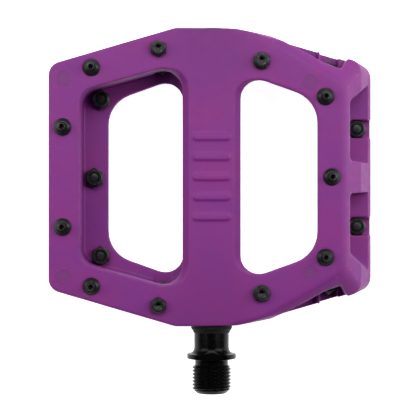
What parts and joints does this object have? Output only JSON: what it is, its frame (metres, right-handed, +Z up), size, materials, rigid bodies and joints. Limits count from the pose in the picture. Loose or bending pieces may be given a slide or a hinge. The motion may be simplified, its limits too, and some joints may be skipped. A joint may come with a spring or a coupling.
{
  "type": "flat bicycle pedal",
  "caption": "Flat platform pedal: moulded hexagonal body with two windows and grip pins on both faces, turning on a threaded steel spindle.",
  "frame": {"origin": "on the spindle's axis, at the face of the flange that seats against the crank", "axes": "+Y along the spindle away from the crank, +X fore and aft, +Z up through the upper deck"},
  "size_m": [0.1176, 0.1325, 0.0294],
  "materials": {
    "black_steel": "black oxide, satin",
    "bearing_steel": "ground and polished",
    "zinc_steel": "zinc plated",
    "purple_nylon": "as moulded, fine satin texture",
    "bush_polymer": "as machined",
    "black_rubber": "matt",
    "black_anodised": "black anodised, satin",
    "cage_steel": "pressed"
  },
  "bodies": {
    "spindle_set": {"spindle": "black_steel", "inner_race": "bearing_steel", "lock_washer": "zinc_steel", "spindle_nut": "zinc_steel"},
    "ball_set": {"bearing_balls": "bearing_steel", "ball_cage": "cage_steel"},
    "platform_set": {"platform": "purple_nylon", "plain_bush": "bush_polymer", "outer_race": "bearing_steel", "bearing_shields": "black_rubber", "dust_seal": "black_rubber", "end_cap": "black_anodised", "end_cap_o_ring": "black_rubber", "top_outer_pins": "black_steel", "top_inner_pins": "black_steel", "top_hex_stub_pins": "black_steel", "top_round_stub_pins": "black_steel", "top_outer_pin_nuts": "black_steel", "top_inner_pin_nuts": "black_steel", "top_stub_pin_nuts": "black_steel", "bottom_outer_pins": "black_steel", "bottom_inner_pins": "black_steel", "bottom_hex_stub_pins": "black_steel", "bottom_round_stub_pins": "black_steel", "bottom_outer_pin_nuts": "black_steel", "bottom_inner_pin_nuts": "black_steel", "bottom_stub_pin_nuts": "black_steel"}
  },
  "joints": [
    {"name": "pedal_spin", "type": "hinge", "parent": "spindle_set", "child": "platform_set", "pos_m": [0, 0, 0], "axis": [0, 1, 0], "continuous": true},
    {"name": "ball_spin", "type": "hinge", "parent": "spindle_set", "child": "ball_set", "pos_m": [0, 0, 0], "axis": [0, 1, 0], "continuous": true}
  ],
  "couplings": [
    {"joint": "ball_spin", "follows": "pedal_spin", "ratio": 0.6133}
  ]
}
